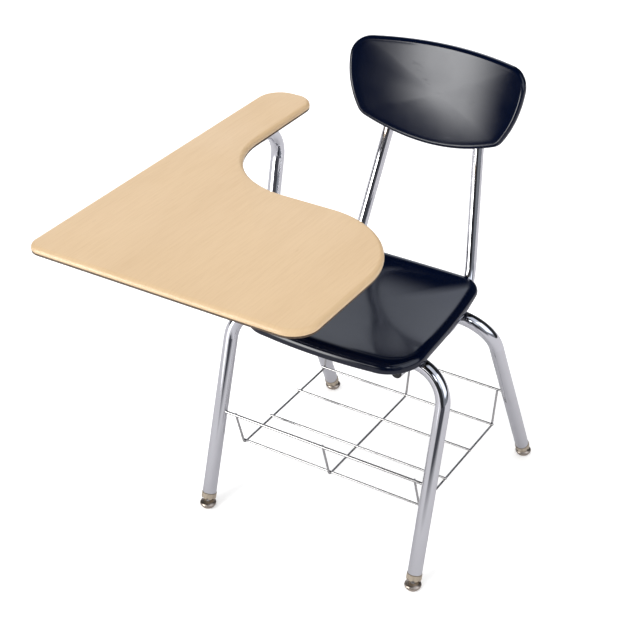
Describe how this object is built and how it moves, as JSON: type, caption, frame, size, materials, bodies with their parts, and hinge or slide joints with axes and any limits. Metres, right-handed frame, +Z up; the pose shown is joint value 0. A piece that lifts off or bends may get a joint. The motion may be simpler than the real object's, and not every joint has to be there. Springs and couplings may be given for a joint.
{
  "type": "student desk chair",
  "caption": "School chair with a moulded seat and back on a chromed tube frame, joined to a writing surface on a side arm, with a wire book rack below the seat and swivel glides.",
  "frame": {"origin": "on the floor, under the middle of the outline of the whole chair and desk", "axes": "+Z up; the sitter faces -Y; the desk arm is on the right of the sitter, at -X"},
  "size_m": [0.655, 0.826, 0.8846],
  "materials": {
    "navy_plastic": "polished moulded polypropylene, deep navy",
    "chrome_tube": "bright chrome plate on steel tube",
    "chrome_wire": "bright chrome plate on steel wire",
    "zinc_steel": "bright zinc plate",
    "black_plastic": "satin moulded plastic",
    "maple_laminate": "satin maple-grain laminate",
    "particle_board": "sealed pressed board",
    "backing_sheet": "matt phenolic sheet",
    "tan_plastic": "satin moulded plastic",
    "nickel_steel": "warm nickel plate",
    "nylon": "natural nylon"
  },
  "bodies": {
    "chair_frame": {"seat_shell": "navy_plastic", "seat_brackets": "zinc_steel", "seat_spacers": "black_plastic", "seat_screws": "zinc_steel", "backrest_shell": "navy_plastic", "backrest_spacers": "black_plastic", "backrest_screws": "zinc_steel", "front_leg_frame": "chrome_tube", "rear_leg_frame": "chrome_tube", "back_upright_left": "chrome_tube", "back_upright_right": "chrome_tube", "upright_front_plugs": "black_plastic", "upright_top_plugs": "black_plastic", "desk_support_tube": "chrome_tube", "desk_support_plugs": "black_plastic", "desk_support_gussets": "zinc_steel", "desk_mounting_plates": "zinc_steel", "desk_core": "particle_board", "desk_laminate": "maple_laminate", "desk_backer": "backing_sheet", "desk_screws": "zinc_steel", "rack_front_rail": "chrome_wire", "rack_rear_rail": "chrome_wire", "rack_long_wires": "chrome_wire", "rack_cross_wires": "chrome_wire", "glide_collars": "tan_plastic", "glide_ball_studs": "zinc_steel"},
    "liner_fl": {"glide_liner_fl": "nylon"},
    "cup_fl": {"glide_cup_fl": "nickel_steel", "glide_pad_fl": "nylon"},
    "liner_fr": {"glide_liner_fr": "nylon"},
    "cup_fr": {"glide_cup_fr": "nickel_steel", "glide_pad_fr": "nylon"},
    "liner_rl": {"glide_liner_rl": "nylon"},
    "cup_rl": {"glide_cup_rl": "nickel_steel", "glide_pad_rl": "nylon"},
    "liner_rr": {"glide_liner_rr": "nylon"},
    "cup_rr": {"glide_cup_rr": "nickel_steel", "glide_pad_rr": "nylon"}
  },
  "joints": [
    {"name": "glide_tilt_x_fl", "type": "hinge", "parent": "chair_frame", "child": "liner_fl", "pos_m": [-0.1715, -0.12602, 0.01], "axis": [1, 0, 0], "range_deg": [-8, 8]},
    {"name": "glide_tilt_y_fl", "type": "hinge", "parent": "liner_fl", "child": "cup_fl", "pos_m": [-0.1715, -0.12602, 0.01], "axis": [0, 1, 0], "range_deg": [-8, 8]},
    {"name": "glide_tilt_x_fr", "type": "hinge", "parent": "chair_frame", "child": "liner_fr", "pos_m": [0.3105, -0.12602, 0.01], "axis": [1, 0, 0], "range_deg": [-8, 8]},
    {"name": "glide_tilt_y_fr", "type": "hinge", "parent": "liner_fr", "child": "cup_fr", "pos_m": [0.3105, -0.12602, 0.01], "axis": [0, 1, 0], "range_deg": [-8, 8]},
    {"name": "glide_tilt_x_rl", "type": "hinge", "parent": "chair_frame", "child": "liner_rl", "pos_m": [-0.1715, 0.37798, 0.01], "axis": [1, 0, 0], "range_deg": [-8, 8]},
    {"name": "glide_tilt_y_rl", "type": "hinge", "parent": "liner_rl", "child": "cup_rl", "pos_m": [-0.1715, 0.37798, 0.01], "axis": [0, 1, 0], "range_deg": [-8, 8]},
    {"name": "glide_tilt_x_rr", "type": "hinge", "parent": "chair_frame", "child": "liner_rr", "pos_m": [0.3105, 0.37798, 0.01], "axis": [1, 0, 0], "range_deg": [-8, 8]},
    {"name": "glide_tilt_y_rr", "type": "hinge", "parent": "liner_rr", "child": "cup_rr", "pos_m": [0.3105, 0.37798, 0.01], "axis": [0, 1, 0], "range_deg": [-8, 8]}
  ]
}
